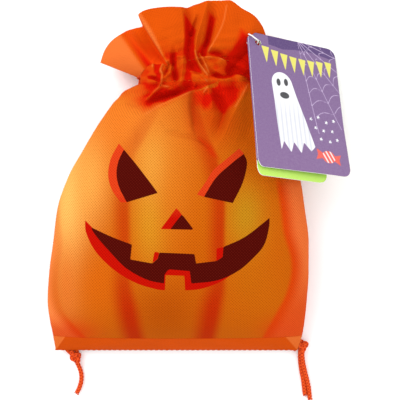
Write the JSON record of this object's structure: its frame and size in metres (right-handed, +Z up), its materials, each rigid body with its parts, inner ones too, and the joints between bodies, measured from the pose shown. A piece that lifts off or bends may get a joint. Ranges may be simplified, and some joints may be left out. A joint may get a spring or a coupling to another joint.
{
  "type": "drawstring treat pouch",
  "caption": "Soft drawstring sweets pouch with a pumpkin face, frilled mouth, knotted cord ends and a folded card hang tag, lying on its back",
  "frame": {"origin": "on the surface the pouch lies on, under the middle of its back panel", "axes": "+Z up out of the printed front, +Y along the pouch towards its mouth, +X to the right of the face"},
  "size_m": [0.2018, 0.2725, 0.0623],
  "materials": {
    "printed_nonwoven": "matt embossed",
    "orange_nonwoven": "matt embossed",
    "thread": "matt",
    "cord": "satin",
    "violet_card": "satin",
    "lime_card": "satin",
    "white_string": "matt"
  },
  "bodies": {
    "pouch": {"front_panel": "printed_nonwoven", "back_panel": "orange_nonwoven", "bottom_gusset": "orange_nonwoven", "left_side_seam": "orange_nonwoven", "right_side_seam": "orange_nonwoven", "front_casing": "orange_nonwoven", "back_casing": "orange_nonwoven", "front_frill": "orange_nonwoven", "back_frill": "orange_nonwoven", "front_casing_stitching": "thread", "back_casing_stitching": "thread", "bottom_seam_stitching": "thread", "left_cord_loop": "cord", "right_cord_loop": "cord", "left_cord_front_run": "cord", "left_cord_back_run": "cord", "right_cord_front_run": "cord", "right_cord_back_run": "cord", "left_corner_tab": "orange_nonwoven", "right_corner_tab": "orange_nonwoven", "tag_string": "white_string"},
    "tag": {"tag_back_leaf": "lime_card"},
    "cover_leaf": {"tag_cover": "violet_card"},
    "left_tail_end": {"left_knot": "cord", "left_tail": "cord"},
    "right_tail_end": {"right_knot": "cord", "right_tail_inner": "cord", "right_tail_outer": "cord"}
  },
  "joints": [
    {"name": "tag_swing", "type": "hinge", "parent": "pouch", "child": "tag", "pos_m": [0.052, 0.118, 0.0298], "axis": [0.4395, 0.3188, 0.8398], "range_deg": [-30, 0]},
    {"name": "tag_open", "type": "hinge", "parent": "tag", "child": "cover_leaf", "pos_m": [0.04783, 0.08008, 0.04638], "axis": [0.0514, -0.9423, 0.3308], "range_deg": [0, 30]},
    {"name": "left_tail_swing", "type": "hinge", "parent": "pouch", "child": "left_tail_end", "pos_m": [-0.0726, -0.095, 0.0036], "axis": [0, 0, 1], "range_deg": [-25, 25]},
    {"name": "right_tail_swing", "type": "hinge", "parent": "pouch", "child": "right_tail_end", "pos_m": [0.087, -0.087, 0.0036], "axis": [0, 0, 1], "range_deg": [-20, 20]}
  ]
}
